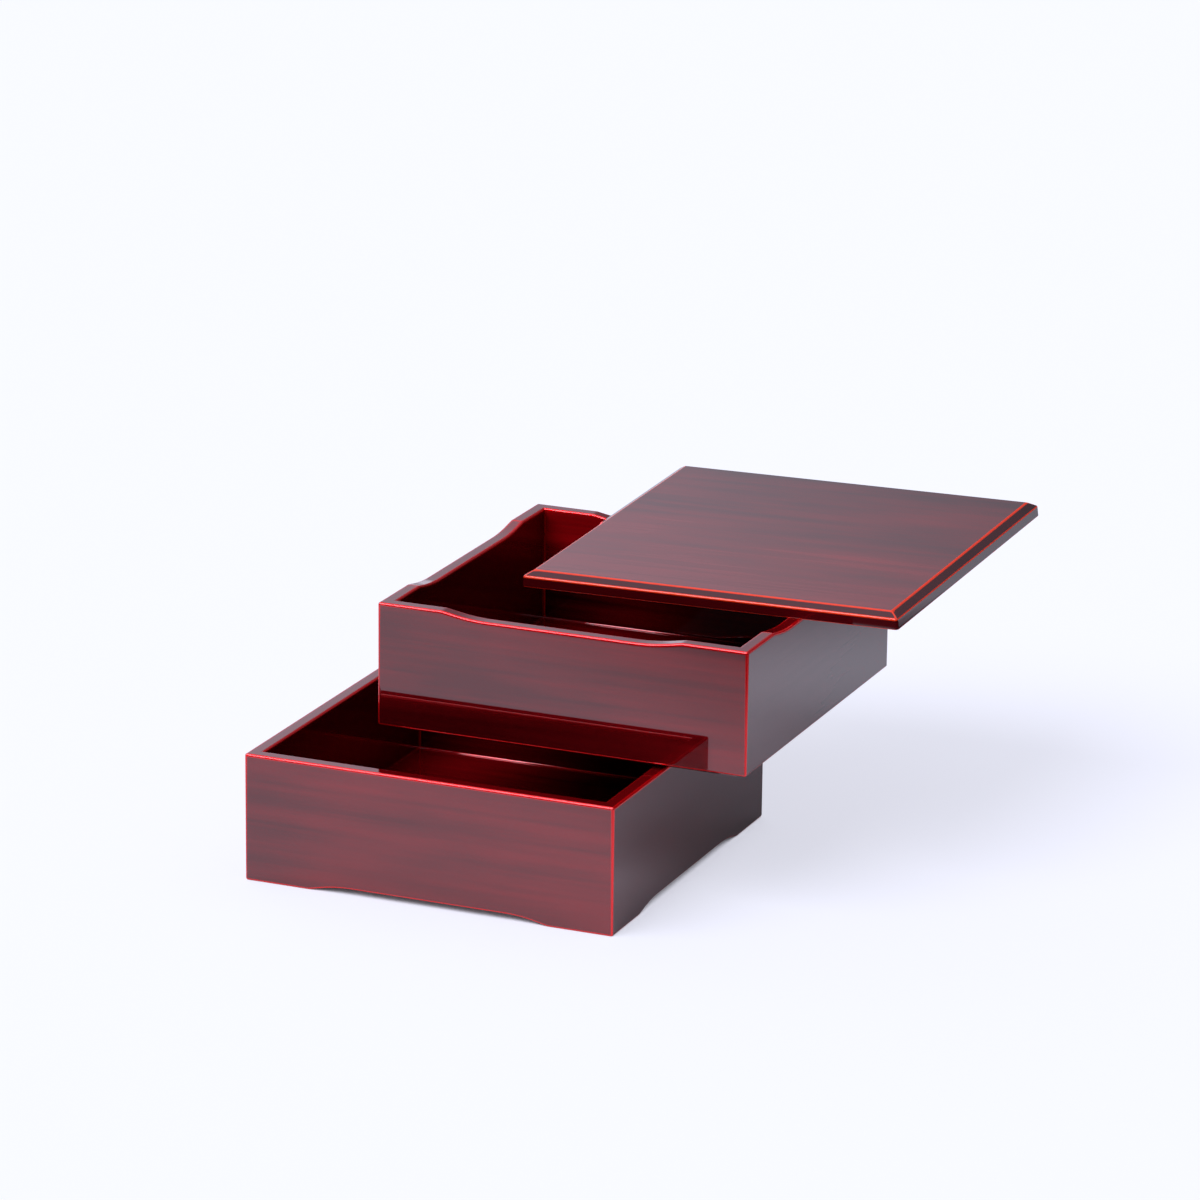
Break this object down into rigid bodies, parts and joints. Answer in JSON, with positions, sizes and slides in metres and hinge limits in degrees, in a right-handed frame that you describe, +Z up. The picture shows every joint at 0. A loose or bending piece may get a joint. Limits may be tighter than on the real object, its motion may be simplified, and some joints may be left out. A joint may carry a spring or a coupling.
{
  "type": "stacking lacquer box",
  "caption": "Square stacking lacquer box with mitred wall tiers, footed base, scooped rim and flat bevelled lid, shown opened stepwise with each level shifted back and to one side.",
  "frame": {"origin": "on the table, at the middle of the footprint of the whole opened stack", "axes": "+Z up, -Y out of the lower tier's front wall, +X towards the side to which the tiers are shifted"},
  "size_m": [0.27, 0.3065, 0.1323],
  "materials": {
    "lacquered_wall": "glossy dark translucent lacquer over a red ground, red along the worn-back arrises",
    "lacquered_floor": "glossy dark translucent lacquer over a red ground",
    "lacquered_lid": "glossy dark translucent lacquer over a red ground, orange-red along the bevel's ridges",
    "bare_wood": "bare sawn wood, hidden in the joints"
  },
  "bodies": {
    "lower_tier": {"lower_front_wall": "lacquered_wall", "lower_right_wall": "lacquered_wall", "lower_back_wall": "lacquered_wall", "lower_left_wall": "lacquered_wall", "lower_bottom_board": "lacquered_floor", "lower_tongue_front_left": "bare_wood", "lower_tongue_front_right": "bare_wood", "lower_tongue_back_right": "bare_wood", "lower_tongue_back_left": "bare_wood"},
    "upper_tier": {"upper_front_wall": "lacquered_wall", "upper_right_wall": "lacquered_wall", "upper_back_wall": "lacquered_wall", "upper_left_wall": "lacquered_wall", "upper_bottom_board": "lacquered_floor", "upper_tongue_front_left": "bare_wood", "upper_tongue_front_right": "bare_wood", "upper_tongue_back_right": "bare_wood", "upper_tongue_back_left": "bare_wood"},
    "lid": {"lid_board": "lacquered_lid"}
  },
  "joints": [
    {"name": "upper_tier_lift", "type": "slide", "parent": "lower_tier", "child": "upper_tier", "axis": [0, 0, 1], "range_m": [0, 0.1]},
    {"name": "lid_lift", "type": "slide", "parent": "upper_tier", "child": "lid", "axis": [0, 0, 1], "range_m": [0, 0.08]}
  ]
}
